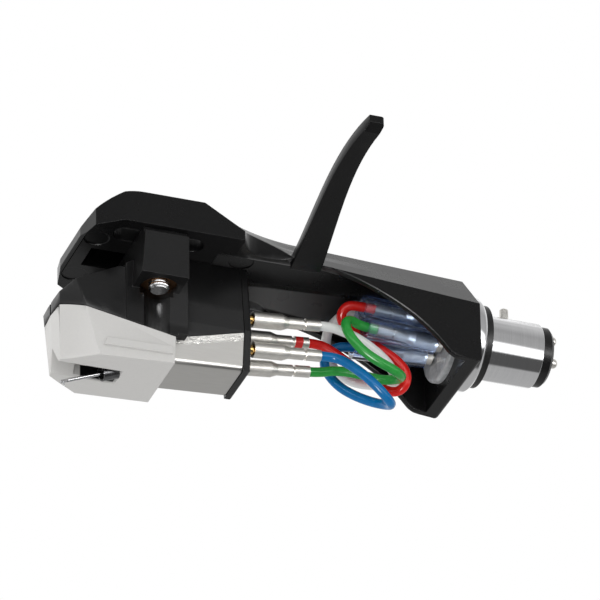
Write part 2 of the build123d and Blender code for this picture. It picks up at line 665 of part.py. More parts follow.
with BuildPart() as cartridge_housing:
    for z in (HOLDER_BOTTOM_FRONT, BODY_NOSE_TOP):
        with BuildSketch(Plane.XY.offset(z)):
            with BuildLine():
                front_half = housing_half(seam_bend_x, z)
                rear_half = housing_half(COLUMN_REAR_X, z)
                Polyline(*body_plan(z, front_half, rear_half, COLUMN_REAR_X))
                mirror(about=Plane.XZ)
            make_face()
    loft(ruled=True)
    with BuildSketch(Plane.XY.offset(SEAM_REAR_Z)):
        with Locations(((COLUMN_FRONT_X + COLUMN_REAR_X) / 2, 0)):
            Rectangle(COLUMN_REAR_X - COLUMN_FRONT_X, 2 * COLUMN_HALF_WIDTH)
    extrude(amount=PLATE_BOTTOM - SEAM_REAR_Z)
    with BuildSketch(Plane.YZ.offset(HOUSING_FACE_X)):
        with BuildLine():
            Polyline(
                (0, PLATE_BOTTOM),
                (HOUSING_TOP_HALF, PLATE_BOTTOM),
                (HOUSING_WAIST_HALF, WAIST_Z),
                (shield_half(SEAM_REAR_Z), SEAM_REAR_Z),
                (0, SEAM_REAR_Z),
            )
            mirror(about=Plane.YZ)
        make_face()
    extrude(amount=COLUMN_REAR_X - HOUSING_FACE_X)
    with BuildSketch(Plane.XZ):
        with BuildLine():
            Polyline(
                (HOUSING_FACE_X, PLATE_BOTTOM),
                (SLOPE_TOP_X, PLATE_BOTTOM),
                (BODY_NOSE_X, SLOPE_NOSE_Z),
                (BODY_NOSE_X, NOSE_LOW_Z),
                (FACET_X, NOSE_LOW_Z),
                (seam_bend_x, FACET_LOW_Z),
                (COLUMN_REAR_X, SEAM_REAR_Z),
                (COLUMN_REAR_X, PARTING_FRONT_Z),
                (HOUSING_FACE_X, PARTING_REAR_Z),
                close=True,
            )
        make_face()
    extrude(amount=EAR_HALF_WIDTH, both=True, mode=Mode.INTERSECT)
    with BuildSketch(Plane.XY.offset(CHEEK_BOTTOM)):
        cheek_x = COLUMN_REAR_X + CHEEK_LENGTH / 2
        cheek_y = (COLUMN_HALF_WIDTH + cheek_inner) / 2
        with Locations((cheek_x, cheek_y), (cheek_x, -cheek_y)):
            Rectangle(CHEEK_LENGTH, COLUMN_HALF_WIDTH - cheek_inner)
    extrude(amount=EAR_TOP - CHEEK_BOTTOM)
    with BuildSketch(Plane.XZ):
        with BuildLine():
            Polyline(
                (EAR_FRONT_X - EAR_RAKE / 2, EAR_BOTTOM),
                (EAR_REAR_X, EAR_BOTTOM),
                (EAR_REAR_X, EAR_TOP),
                (EAR_FRONT_X + EAR_RAKE / 2, EAR_TOP),
                close=True,
            )
        make_face()
    extrude(amount=EAR_HALF_WIDTH, both=True)
    with BuildSketch(Plane.XY.offset(EAR_TOP)):
        with Locations(((EAR_FRONT_X + EAR_RAKE / 2 + EAR_REAR_X) / 2, 0)):
            Rectangle(EAR_AHEAD + EAR_BEHIND - EAR_RAKE / 2, 2 * (EAR_HALF_WIDTH - EAR_PAD_SETBACK))
    extrude(amount=EAR_PAD_HEIGHT)
    with BuildSketch(Plane.XY.offset(INSERT_BOTTOM + INSERT_LENGTH)):
        with Locations((SCREW_X, SCREW_Y), (SCREW_X, -SCREW_Y)):
            Circle(INSERT_RADIUS + FIT)
    extrude(amount=-(INSERT_LENGTH + 2 * INSERT_RECESS), mode=Mode.SUBTRACT)
    with BuildSketch(Plane.XY.offset(SEAM_REAR_Z)):
        with Locations((SCREW_X, SCREW_Y), (SCREW_X, -SCREW_Y)):
            Circle(GROOVE_RADIUS)
    extrude(amount=INSERT_BOTTOM - SEAM_REAR_Z, mode=Mode.SUBTRACT)
    with BuildSketch(Plane.XY.offset(INSERT_BOTTOM)):
        with Locations((SCREW_X, SCREW_Y), (SCREW_X, -SCREW_Y)):
            Circle(SCREW_RADIUS + SLIDE_FIT)
    extrude(amount=PLATE_BOTTOM - INSERT_BOTTOM, mode=Mode.SUBTRACT)
    with BuildSketch(Plane.XZ):
        with Locations((BODY_NOSE_X, NOSE_LOW_Z)):
            Rectangle(2 * NOSE_SLIT_DEPTH, 2 * (SLOPE_NOSE_Z - NOSE_LOW_Z) + OVERCUT)
    extrude(amount=NOSE_SLIT / 2, both=True, mode=Mode.SUBTRACT)

# Shield case: a folded can under the housing, open at the top and at the back
shield_outside = shield_form(0, 0)
shield_inside = shield_form(SHIELD_WALL, OVERCUT)

with BuildPart() as shield_case:
    add(shield_outside)
    add(shield_inside, mode=Mode.SUBTRACT)

# Terminal plate across the back of the housing and the shield case
terminal_spots = [lead["terminal"] for lead in LEADS.values()]

with BuildPart() as terminal_plate:
    with BuildSketch(Plane.YZ.offset(HOUSING_FACE_X)):
        with BuildLine():
            low_z = shield_bottom(HOUSING_FACE_X) - TERMINAL_PLATE_RIM
            Polyline(
                (0, PLATE_BOTTOM),
                (HOUSING_TOP_HALF, PLATE_BOTTOM),
                (HOUSING_WAIST_HALF + TERMINAL_PLATE_RIM, WAIST_Z),
                (shield_half(low_z) + TERMINAL_PLATE_RIM, low_z),
                (0, low_z),
            )
            mirror(about=Plane.YZ)
        make_face()
    extrude(amount=TERMINAL_PLATE_THICKNESS)
    fillet(terminal_plate.faces().sort_by(Axis.X)[-1].edges(), TERMINAL_PLATE_ROUND)
    with BuildSketch(Plane.YZ.offset(HOUSING_FACE_X)):
        with Locations(*[(side * TERMINAL_Y, z) for side, z in terminal_spots]):
            Circle(TERMINAL_RADIUS + FIT)
    extrude(amount=TERMINAL_PLATE_THICKNESS, mode=Mode.SUBTRACT)

# Screen plate between the two channels
with BuildPart() as channel_screen:
    with BuildSketch(Plane.XZ):
        with Locations((HOUSING_FACE_X - SCREEN_LENGTH / 2, COIL_Z)):
            Rectangle(SCREEN_LENGTH, SCREEN_HEIGHT)
    extrude(amount=SCREEN_THICKNESS / 2, both=True)

# Screws, washers, threaded inserts, coils and cores, one of each on the right and on the left
paired = {}
for name, side in SIDES.items():
    screw_spot = (SCREW_X, side * SCREW_Y)
    coil_spot = (side * COIL_Y, COIL_Z)
    with BuildPart() as mounting_screw:
        with BuildSketch(Plane.XY.offset(SCREW_END_Z)):
            with Locations(screw_spot):
                Circle(SCREW_RADIUS)
        extrude(amount=HEAD_UNDERSIDE_Z - SCREW_END_Z)
        chamfer(mounting_screw.faces().sort_by(Axis.Z)[0].edges(), SCREW_END_CHAMFER)
        with BuildSketch(Plane.XY.offset(HEAD_UNDERSIDE_Z)):
            with Locations(screw_spot):
                Circle(SCREW_HEAD_RADIUS)
        extrude(amount=SCREW_HEAD_HEIGHT)
        fillet(mounting_screw.faces().sort_by(Axis.Z)[-1].edges(), SCREW_END_CHAMFER)
        with BuildSketch(Plane.XY.offset(HEAD_UNDERSIDE_Z + SCREW_HEAD_HEIGHT)):
            with Locations(screw_spot):
                Rectangle(3 * SCREW_HEAD_RADIUS, SCREW_SLOT)
        extrude(amount=-SCREW_SLOT_DEPTH, mode=Mode.SUBTRACT)
    with BuildPart() as washer:
        with BuildSketch(Plane.XY.offset(SLOT_FLOOR_Z)):
            with Locations(screw_spot):
                Circle(WASHER_RADIUS)
                Circle(SCREW_RADIUS + SLIDE_FIT, mode=Mode.SUBTRACT)
        extrude(amount=WASHER_THICKNESS)
    with BuildPart() as threaded_insert:
        with BuildSketch(Plane.XY.offset(INSERT_BOTTOM)):
            with Locations(screw_spot):
                Circle(INSERT_RADIUS)
                Circle(SCREW_RADIUS + FIT, mode=Mode.SUBTRACT)
        extrude(amount=INSERT_LENGTH)
    with BuildPart() as coil:
        with BuildSketch(Plane.YZ.offset(COIL_REAR_X)):
            with Locations(coil_spot):
                Circle(COIL_RADIUS)
                Rectangle(CORE_SIDE + 2 * FIT, CORE_SIDE + 2 * FIT, mode=Mode.SUBTRACT)
        extrude(amount=-COIL_LENGTH)
    with BuildPart() as pole_core:
        with BuildSketch(Plane.YZ.offset(HOUSING_FACE_X)):
            with Locations(coil_spot):
                Rectangle(CORE_SIDE, CORE_SIDE)
        extrude(amount=CORE_FRONT_X - HOUSING_FACE_X)
    paired[f"mounting_screw_{name}"] = mounting_screw
    paired[f"washer_{name}"] = washer
    paired[f"threaded_insert_{name}"] = threaded_insert
    paired[f"coil_{name}"] = coil
    paired[f"pole_core_{name}"] = pole_core

# Stylus holder: a drafted shoe that slips over the shield case, notched for the cantilever
lean = radians(CANTILEVER_ANGLE)
cantilever_plane = Plane(origin=(PIVOT_X, 0, PIVOT_Z), x_dir=(0, 1, 0), z_dir=(-cos(lean), 0, -sin(lean)))
tip_origin = cantilever_plane.from_local_coords((0, 0, CANTILEVER_REACH - PADDLE_LENGTH / 3))
tip_plane = Plane(origin=tip_origin, z_dir=cantilever_plane.y_dir)
shield_pocket = shield_form(-PULL_FIT, OVERCUT)
trough = stylus_trough()

with BuildPart() as stylus_holder:
    for z in (HOLDER_BOTTOM_FRONT, NOSE_LOW_Z):
        with BuildSketch(Plane.XY.offset(z)):
            with BuildLine():
                Polyline(*body_plan(z, holder_half(z), holder_half(z), HOLDER_REAR_X))
                mirror(about=Plane.XZ)
            make_face()
    loft(ruled=True)
    with BuildSketch(Plane.XZ):
        with BuildLine():
            Polyline(
                (BODY_NOSE_X, NOSE_LOW_Z - SLIDE_FIT),
                (FACET_X, NOSE_LOW_Z - SLIDE_FIT),
                (seam_bend_x, FACET_LOW_Z - SLIDE_FIT),
                (COLUMN_REAR_X, SEAM_REAR_Z - SLIDE_FIT),
                (COLUMN_REAR_X, HOLDER_BOTTOM_REAR),
                (TOE_X + BODY_NOSE_CREASE + HOLDER_TOE_FACET, HOLDER_BOTTOM_FRONT),
                (BODY_NOSE_X, HOLDER_BOTTOM_FRONT),
                close=True,
            )
        make_face()
    extrude(amount=EAR_HALF_WIDTH, both=True, mode=Mode.INTERSECT)
    with BuildSketch(Plane.XZ):
        with BuildLine():
            Polyline(
                (RIB_FRONT_X + RIB_RAKE, RIB_TOP_Z),
                (RIB_REAR_X, RIB_TOP_Z + RIB_RISE),
                (RIB_REAR_X, RIB_TOP_Z + RIB_RISE - RIB_HEIGHT),
                (RIB_FRONT_X, RIB_TOP_Z - RIB_HEIGHT),
                close=True,
            )
        make_face()
    extrude(amount=holder_half(RIB_TOP_Z) + RIB_PROUD, both=True)
    add(shield_pocket, mode=Mode.SUBTRACT)
    add(trough, mode=Mode.SUBTRACT)
    with BuildSketch(Plane.XZ):
        with Locations(((STYLUS_SLOT_FRONT_X + STYLUS_SLOT_REAR_X) / 2, STYLUS_SLOT_TOP - OVERCUT / 2)):
            Rectangle(STYLUS_SLOT_REAR_X - STYLUS_SLOT_FRONT_X, OVERCUT)
    extrude(amount=STYLUS_SLOT_HALF, both=True, mode=Mode.SUBTRACT)
    with BuildSketch(cantilever_plane.offset(-TUBE_BEHIND)):
        Circle(TUBE_RADIUS + FIT)
    extrude(amount=TUBE_BEHIND + TUBE_AHEAD, mode=Mode.SUBTRACT)

# Plug, suspension tube, damper and cantilever, built along the cantilever's own axis
with BuildPart() as stylus_plug:
    with BuildSketch(Plane.XZ):
        with BuildLine():
            Polyline(
                (STYLUS_SLOT_REAR_X, STYLUS_SLOT_TOP),
                (STYLUS_SLOT_FRONT_X + FIT, STYLUS_SLOT_TOP),
                (STYLUS_SLOT_FRONT_X + FIT, PLUG_BOTTOM),
                (STYLUS_SLOT_REAR_X, PLUG_BOTTOM),
                close=True,
            )
        make_face()
    extrude(amount=PLUG_HALF_WIDTH, both=True)
    with BuildSketch(Plane.XZ):
        with BuildLine():
            Polyline(
                (STYLUS_SLOT_REAR_X - PLUG_LENGTH, STYLUS_SLOT_TOP - PLUG_WALL),
                (STYLUS_SLOT_FRONT_X, STYLUS_SLOT_TOP - PLUG_WALL),
                (STYLUS_SLOT_FRONT_X, PLUG_BOTTOM),
                (STYLUS_SLOT_REAR_X - PLUG_LENGTH, PLUG_BOTTOM),
                close=True,
            )
        make_face()
    extrude(amount=PLUG_HALF_WIDTH - PLUG_WALL, both=True, mode=Mode.SUBTRACT)
    with BuildSketch(cantilever_plane.offset(-TUBE_BEHIND)):
        Circle(TUBE_RADIUS + FIT)
    extrude(amount=TUBE_BEHIND + PLUG_LENGTH, mode=Mode.SUBTRACT)

with BuildPart() as suspension_tube:
    with BuildSketch(cantilever_plane.offset(-TUBE_BEHIND)):
        Circle(TUBE_RADIUS)
        Circle(TENSION_WIRE_RADIUS + FIT, mode=Mode.SUBTRACT)
    extrude(amount=TUBE_BEHIND + TUBE_AHEAD)
    with BuildSketch(cantilever_plane.offset(TUBE_WALL - TUBE_BEHIND)):
        Circle(TUBE_RADIUS - TUBE_WALL)
    extrude(amount=TUBE_BEHIND + TUBE_AHEAD - TUBE_WALL, mode=Mode.SUBTRACT)

with BuildPart() as tension_wire:
    with BuildSketch(cantilever_plane.offset(-TUBE_BEHIND)):
        Circle(TENSION_WIRE_RADIUS)
    extrude(amount=TUBE_BEHIND - CANTILEVER_BEHIND - MAGNET_LENGTH - SLIDE_FIT)

with BuildPart() as damper:
    with BuildSketch(cantilever_plane.offset(DAMPER_AHEAD - DAMPER_THICKNESS)):
        Circle(DAMPER_RADIUS)
        Circle(CANTILEVER_RADIUS + DAMPER_BORE_FIT, mode=Mode.SUBTRACT)
    extrude(amount=DAMPER_THICKNESS)

with BuildPart() as cantilever:
    with BuildSketch(cantilever_plane.offset(-CANTILEVER_BEHIND)):
        Circle(CANTILEVER_RADIUS)
        Circle(CANTILEVER_RADIUS - CANTILEVER_WALL, mode=Mode.SUBTRACT)
    extrude(amount=CANTILEVER_BEHIND + CANTILEVER_REACH - PADDLE_LENGTH)
    with BuildSketch(cantilever_plane.offset(CANTILEVER_REACH - PADDLE_LENGTH)):
        Rectangle(2 * CANTILEVER_RADIUS, PADDLE_THICKNESS)
    extrude(amount=PADDLE_LENGTH)
    with BuildSketch(tip_plane):
        Circle(TIP_RADIUS + FIT)
    extrude(amount=PADDLE_THICKNESS, both=True, mode=Mode.SUBTRACT)

with BuildPart() as stylus_tip:
    with BuildSketch(tip_plane.offset(-PADDLE_THICKNESS / 2)):
        Circle(TIP_RADIUS)
    extrude(amount=PADDLE_THICKNESS)
    with BuildSketch(tip_plane.offset(PADDLE_THICKNESS / 2)):
        Circle(TIP_RADIUS)
    with BuildSketch(tip_plane.offset(PADDLE_THICKNESS / 2 + TIP_LENGTH)):
        Circle(TIP_POINT)
    loft()

for name, side in SIDES.items():
    with BuildPart() as magnet:
        with BuildSketch(cantilever_plane.offset(-CANTILEVER_BEHIND - MAGNET_LENGTH)):
            with Locations((side * (MAGNET_SIDE + SLIDE_FIT) / 2, 0)):
                Rectangle(MAGNET_SIDE, MAGNET_SIDE)
        extrude(amount=MAGNET_LENGTH)
    paired[f"magnet_{name}"] = magnet


def wire_clip(plane, standoff):
    """A wire clip along a plane's normal: open barrel, taper, and a crimp in two lengths."""
    taper_s = standoff + CLIP_BARREL
    crimp_s = taper_s + CLIP_TAPER
    waist_s = crimp_s + CLIP_CRIMP
    end_s = standoff + CLIP_LENGTH
    with BuildPart() as clip:
        with BuildSketch(Plane(origin=plane.origin, x_dir=plane.z_dir, z_dir=plane.x_dir)):
            with BuildLine():
                Polyline(
                    (standoff, CLIP_BORE),
                    (standoff, CLIP_RADIUS),
                    (taper_s, CLIP_RADIUS),
                    (crimp_s, CLIP_CRIMP_RADIUS),
                    (waist_s, CLIP_CRIMP_RADIUS),
                    (waist_s, CLIP_NECK_RADIUS),
                    (waist_s + CLIP_WAIST, CLIP_NECK_RADIUS),
                    (waist_s + CLIP_WAIST, CLIP_CRIMP_RADIUS),
                    (end_s, CLIP_CRIMP_RADIUS),
                    (end_s, 0),
                    (taper_s, 0),
                    (taper_s, CLIP_BORE),
                    close=True,
                )
            make_face()
        revolve(axis=Axis(plane.origin, plane.z_dir))
    return clip


def bend_radii(points):
    """The radius of each bend, so that a bend takes up the same share of its shorter run."""
    radii = []
    for before, corner, after in zip(points, points[1:], points[2:]):
        turn = radians((corner - before).get_angle(after - corner))
        run = min((corner - before).length, (after - corner).length)
        radii.append(BEND_SHARE * run / tan(turn / 2))
    return radii


# Contacts, clips, sleeves and leads, one of each per colour
wiring = {}
for name, lead in LEADS.items():
    terminal_y = lead["terminal"][0] * TERMINAL_Y
    terminal_z = lead["terminal"][1]
    contact_spot = (lead["contact"][0] * CONTACT_Y, lead["contact"][1] * CONTACT_Y)
    front = Plane(origin=(HOUSING_REAR_X, terminal_y, terminal_z), z_dir=(1, *lead["front_lean"]))
    rear = Plane(origin=(DISC_FRONT_X, *contact_spot), z_dir=(-1, *lead["sleeve_lean"]))
    start = front.origin + front.z_dir * (CLIP_STANDOFF + CLIP_LENGTH)
    end = rear.origin + rear.z_dir * (REAR_CLIP_STANDOFF + CLIP_LENGTH)
    route = [Vector(point) for point in lead["route"]]
    points = [start, start + front.z_dir * ROUTE_END_RUN]
    points += route
    points += [end + rear.z_dir * ROUTE_SLEEVE_RUN, end]
    radii = bend_radii(points)
    with BuildPart() as contact_pin:
        with BuildSketch(Plane.YZ.offset(DISC_FRONT_X - CONTACT_STUB_LENGTH)):
            with Locations(contact_spot):
                Circle(CONTACT_STUB_RADIUS)
        extrude(amount=CONTACT_STUB_LENGTH + DISC_THICKNESS)
        with BuildSketch(Plane.YZ.offset(HOLLOW_REAR_X)):
            with Locations(contact_spot):
                Circle(CONTACT_TIP_RADIUS)
        extrude(amount=BARREL_LENGTH + END_RING_LENGTH + CONTACT_TIP_LENGTH - HOLLOW_REAR_X)
        fillet(contact_pin.faces().sort_by(Axis.X)[-1].edges(), CONTACT_TIP_RADIUS * 0.9)
    with BuildPart() as terminal_pin:
        with BuildSketch(Plane.YZ.offset(HOUSING_FACE_X)):
            with Locations((terminal_y, terminal_z)):
                Circle(TERMINAL_RADIUS)
        extrude(amount=TERMINAL_PLATE_THICKNESS + TERMINAL_LENGTH)
    with BuildPart() as sleeve:
        with BuildSketch(rear.offset(SLEEVE_STANDOFF)):
            Circle(SLEEVE_RADIUS)
            Circle(CLIP_RADIUS + FIT, mode=Mode.SUBTRACT)
        extrude(amount=SLEEVE_LENGTH)
    with BuildPart() as wire:
        with BuildLine():
            path = FilletPolyline(*points, radius=radii)
        with BuildSketch(Plane(origin=path @ 0, z_dir=path % 0)):
            Circle(LEAD_RADIUS)
        sweep()
    share = wire.part.volume / (pi * LEAD_RADIUS**2 * path.length)
    print(f"lead_{name} length {path.length:.1f} tightest bend {min(radii):.2f} volume share {share:.4f}")
    wiring[f"contact_pin_{name}"] = contact_pin
    wiring[f"terminal_pin_{name}"] = terminal_pin
    wiring[f"front_clip_{name}"] = wire_clip(front, CLIP_STANDOFF)
    wiring[f"rear_clip_{name}"] = wire_clip(rear, REAR_CLIP_STANDOFF)
    wiring[f"sleeve_{name}"] = sleeve
    wiring[f"lead_{name}"] = wire

# One file per piece
pieces = {
    "headshell": headshell,
    "bayonet_barrel": bayonet_barrel,
    "gasket": gasket,
    "locking_pin": locking_pin,
    "contact_insulator": contact_insulator,
    "terminal_disc": terminal_disc,
    "cartridge_housing": cartridge_housing,
    "shield_case": shield_case,
    "terminal_plate": terminal_plate,
    "channel_screen": channel_screen,
    "stylus_holder": stylus_holder,
    "stylus_plug": stylus_plug,
    "suspension_tube": suspension_tube,
    "tension_wire": tension_wire,
    "damper": damper,
    "cantilever": cantilever,
    "stylus_tip": stylus_tip,
}
pieces.update(paired)
pieces.update(wiring)
os.makedirs("parts", exist_ok=True)
for name, piece in pieces.items():
    piece.part.label = name
    export_step(piece.part, f"parts/{name}.step")
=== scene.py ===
from math import cos, pi, radians, sin

import bmesh
import bpy
from mathutils import Matrix, Vector


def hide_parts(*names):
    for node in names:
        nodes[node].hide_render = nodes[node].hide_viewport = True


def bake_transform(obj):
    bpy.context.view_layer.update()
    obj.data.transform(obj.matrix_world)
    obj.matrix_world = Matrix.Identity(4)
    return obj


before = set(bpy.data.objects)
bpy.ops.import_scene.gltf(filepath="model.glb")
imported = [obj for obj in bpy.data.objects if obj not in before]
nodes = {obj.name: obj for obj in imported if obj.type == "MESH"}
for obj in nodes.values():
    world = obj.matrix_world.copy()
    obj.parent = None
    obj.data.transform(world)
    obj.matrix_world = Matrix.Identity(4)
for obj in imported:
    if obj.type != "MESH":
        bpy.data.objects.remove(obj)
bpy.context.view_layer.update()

scene = bpy.context.scene
COLOURS = ("white", "red", "green", "blue")
SIDES = ("right", "left")
MM = 0.001


# Node helpers

def feed(tree, socket, value):
    """Links an input to another socket, or sets its plain value."""
    if isinstance(value, bpy.types.NodeSocket):
        tree.links.new(value, socket)
    else:
        socket.default_value = value


def add_node(tree, kind, **values):
    """A node with its properties set, and the inputs named in_... set or linked."""
    node = tree.nodes.new(kind)
    for key, value in values.items():
        if key.startswith("in_"):
            feed(tree, node.inputs[key[3:].replace("_", " ")], value)
        else:
            setattr(node, key, value)
    return node


def work_out(tree, operation, *terms, kind="ShaderNodeMath", **values):
    """The result of a math node, whose terms are sockets or numbers."""
    node = add_node(tree, kind, operation=operation, **values)
    for socket, term in zip(node.inputs, terms):
        feed(tree, socket, term)
    return node.outputs[0]


def vector_work(tree, operation, *terms):
    return work_out(tree, operation, *terms, kind="ShaderNodeVectorMath")


def object_place(tree):
    return add_node(tree, "ShaderNodeTexCoord").outputs["Object"]


def split_axes(tree, vector):
    return add_node(tree, "ShaderNodeSeparateXYZ", in_Vector=vector).outputs


def noise(tree, place, scale, detail, rough):
    node = add_node(
        tree, "ShaderNodeTexNoise",
        in_Vector=place, in_Scale=scale, in_Detail=detail, in_Roughness=rough,
    )
    return node.outputs["Fac"]


# Finishes that several materials share

def new_group(name, inputs, outputs):
    """An empty shader group with float or vector sockets, and the sockets at its two ends."""
    group = bpy.data.node_groups.new(name, "ShaderNodeTree")
    kinds = {"f": "NodeSocketFloat", "v": "NodeSocketVector"}
    for label, kind, value in inputs:
        socket = group.interface.new_socket(label, in_out="INPUT", socket_type=kinds[kind])
        socket.default_value = value
    for label, kind in outputs:
        group.interface.new_socket(label, in_out="OUTPUT", socket_type=kinds[kind])
    start = add_node(group, "NodeGroupInput")
    end = add_node(group, "NodeGroupOutput")
    return group, start.outputs, end.inputs


def open_finish(name, own_input, depth, rough, swing):
    """A group for a finish: one input of its own, and the sockets that all finishes share."""
    return new_group(
        name,
        [own_input, ("Depth", "f", depth), ("Rough", "f", rough), ("Swing", "f", swing)],
        [("Normal", "v"), ("Roughness", "f"), ("Mask", "f")],
    )


def close_finish(group, start, end, height, reach, change):
    """Ends a finish: a bump from its height, and a roughness that swings with its change."""
    bump = add_node(
        group, "ShaderNodeBump",
        in_Strength=start["Depth"], in_Distance=reach * MM, in_Height=height,
    )
    roughness = work_out(group, "MULTIPLY_ADD", change, start["Swing"], start["Rough"])
    feed(group, end["Normal"], bump.outputs["Normal"])
    feed(group, end["Roughness"], roughness)
    feed(group, end["Mask"], height)
    return group


def grain_group():
    """Fine moulded or painted grain, with broad swings of roughness."""
    group, start, end = open_finish("fine_grain", ("Scale", "f", 2500.0), 0.3, 0.4, 0.1)
    place = object_place(group)
    fine = noise(group, place, start["Scale"], 3.0, 0.6)
    broad = noise(group, place, 220.0, 4.0, 0.5)
    return close_finish(group, start, end, fine, 0.04, work_out(group, "SUBTRACT", broad, 0.5))


def brush_group():
    """Brushed or turned lines, stretched along one axis."""
    stretch = ("Stretch", "v", (1.0, 1.0, 1.0))
    group, start, end = open_finish("brushed_lines", stretch, 0.2, 0.25, 0.15)
    stretched = vector_work(group, "MULTIPLY", object_place(group), start["Stretch"])
    lines = noise(group, stretched, 1.0, 5.0, 0.65)
    return close_finish(group, start, end, lines, 0.03, work_out(group, "SUBTRACT", lines, 0.5))


def thread_group():
    """Rings of a screw thread along the upright axis."""
    group, start, end = open_finish("screw_thread", ("Pitch", "f", 0.00045), 1.0, 0.2, 0.1)
    turns = work_out(group, "DIVIDE", split_axes(group, object_place(group))["Z"], start["Pitch"])
    crest = work_out(group, "MULTIPLY", work_out(group, "PINGPONG", turns, 0.5), 2.0)
    return close_finish(group, start, end, crest, 0.1, crest)


def box_group():
    """A mask that rises to one inside a box, given by its middle, half sizes and soft edge."""
    group, start, end = new_group(
        "box_mask",
        [("Middle", "v", (0.0,) * 3), ("Half", "v", (0.01,) * 3), ("Soft", "v", (0.001,) * 3)],
        [("Mask", "f")],
    )
    apart = vector_work(group, "SUBTRACT", object_place(group), start["Middle"])
    past = vector_work(group, "SUBTRACT", vector_work(group, "ABSOLUTE", apart), start["Half"])
    steps = split_axes(group, vector_work(group, "DIVIDE", past, start["Soft"]))
    level = work_out(group, "MAXIMUM", steps["X"], steps["Y"])
    worst = work_out(group, "MAXIMUM", level, steps["Z"])
    feed(group, end["Mask"], work_out(group, "MULTIPLY", worst, -1, use_clamp=True))
    return group


GRAIN = grain_group()
BRUSH = brush_group()
THREAD = thread_group()
BOX = box_group()


def grain(scale, depth, rough, swing):
    return {"Scale": scale, "Depth": depth, "Rough": rough, "Swing": swing}


def brush(stretch, depth, rough, swing):
    return {"Stretch": stretch, "Depth": depth, "Rough": rough, "Swing": swing}


# Materials

def material(name, group, settings, low, high, **shader_values):
    """A material whose colour runs between two tones by the mask of its finish."""
    mat = bpy.data.materials.new(name)
    mat.use_nodes = True
    tree = mat.node_tree
    shader = tree.nodes["Principled BSDF"]
    finish = add_node(tree, "ShaderNodeGroup", node_tree=group)
    for label, value in settings.items():
        finish.inputs[label].default_value = value
    tones = add_node(tree, "ShaderNodeValToRGB", in_Fac=finish.outputs["Mask"])
    for stop, place, tone in zip(tones.color_ramp.elements, (0.3, 0.7), (low, high)):
        stop.position = place
        stop.color = (*tone, 1)
    feed(tree, shader.inputs["Base Color"], tones.outputs["Color"])
    feed(tree, shader.inputs["Roughness"], finish.outputs["Roughness"])
    feed(tree, shader.inputs["Normal"], finish.outputs["Normal"])
    for label, value in shader_values.items():
        shader.inputs[label.replace("_", " ")].default_value = value
    return mat


def metal(name, brushing, low, high, metallic=1.0):
    return material(name, BRUSH, brushing, low, high, Metallic=metallic)


def twin(mat, name):
    """A copy of a material, to change in places."""
    other = mat.copy()
    other.name = name
    return other


def shader_input(mat, label):
    """An input of a material's shader, and the socket that feeds it."""
    socket = mat.node_tree.nodes["Principled BSDF"].inputs[label]
    return socket, socket.links[0].from_socket


def box_mask(mat, box):
    """The mask of a box in a material: its middle, half sizes and soft edge in millimetres."""
    mask = add_node(mat.node_tree, "ShaderNodeGroup", node_tree=BOX)
    for label, sizes in zip(("Middle", "Half", "Soft"), box):
        mask.inputs[label].default_value = [size * MM for size in sizes]
    return mask.outputs["Mask"]


def tint(mat, amount, tone):
    """Mixes another tone into a material's colour by a mask."""
    tree = mat.node_tree
    base, before = shader_input(mat, "Base Color")
    mixer = add_node(tree, "ShaderNodeMix", data_type="RGBA", in_Factor=amount)
    ends = {socket.name: socket for socket in mixer.inputs if socket.type == "RGBA"}
    feed(tree, ends["A"], before)
    feed(tree, ends["B"], (*tone, 1))
    feed(tree, base, next(socket for socket in mixer.outputs if socket.type == "RGBA"))


def tint_edges(mat, blend, tone):
    """Tints a clear tube where its wall is seen edge on."""
    edge = add_node(mat.node_tree, "ShaderNodeLayerWeight", in_Blend=blend)
    tint(mat, edge.outputs["Facing"], tone)


def dull(mat, box, rough):
    """Makes the part of a material inside a box rougher."""
    base, before = shader_input(mat, "Roughness")
    tree = mat.node_tree
    feed(tree, base, work_out(tree, "MULTIPLY_ADD", box_mask(mat, box), rough, before))


def bare_insulation(mat, box, tone):
    """Shows a lead's insulation in a gap of its clip, where the surface isn't metal."""
    tree = mat.node_tree
    gap = box_mask(mat, box)
    tint(mat, gap, tone)
    metallic = tree.nodes["Principled BSDF"].inputs["Metallic"]
    feed(tree, metallic, work_out(tree, "SUBTRACT", 1, gap))


def film_strip(mat, slope, rise, width, rag, edge):
    """A strip of crinkled film under a case's upper edge, which slopes along x.

    The rise is the edge's height at x = 0. All sizes but the slope are in millimetres.
    """
    tree = mat.node_tree
    normal, before = shader_input(mat, "Normal")
    place = object_place(tree)
    axes = split_axes(tree, place)
    crinkle = noise(tree, place, 1400.0, 5.0, 0.7)
    top = work_out(tree, "MULTIPLY_ADD", axes["X"], slope, rise * MM)
    under = work_out(tree, "SUBTRACT", top, axes["Z"])
    ragged = work_out(tree, "MULTIPLY_ADD", crinkle, rag * MM, under)
    strip = add_node(
        tree, "ShaderNodeMapRange", in_Value=ragged,
        in_From_Min=width * MM, in_From_Max=(width + edge) * MM, in_To_Min=1.0, in_To_Max=0.0,
    )
    bump = add_node(
        tree, "ShaderNodeBump", in_Strength=0.9, in_Distance=0.25 * MM, in_Normal=before,
        in_Height=work_out(tree, "MULTIPLY", strip.outputs["Result"], crinkle),
    )
    feed(tree, normal, bump.outputs["Normal"])


# Places with a tone or gloss of their own, and the neck's inside, made lighter by painted light:
# middle, half sizes and soft edge in millimetres
NECK_PAINTED_LIGHT = ((-25.6, 0, 0), (10, 5.75, 5.9), (9, 0.15, 0.15))
HOUSING_CHEEKS = ((-37, 0, -5.2), (6, 8, 2.8), (1, 1, 1))
PLUG_FACE = ((-52, 0, -12), (1.15, 4, 4), (0.1, 0.1, 0.1))
RED_CLIP_GAP = ((-22.85, 2.2, -3), (0.5, 2, 2), (0.05, 0.05, 0.05))

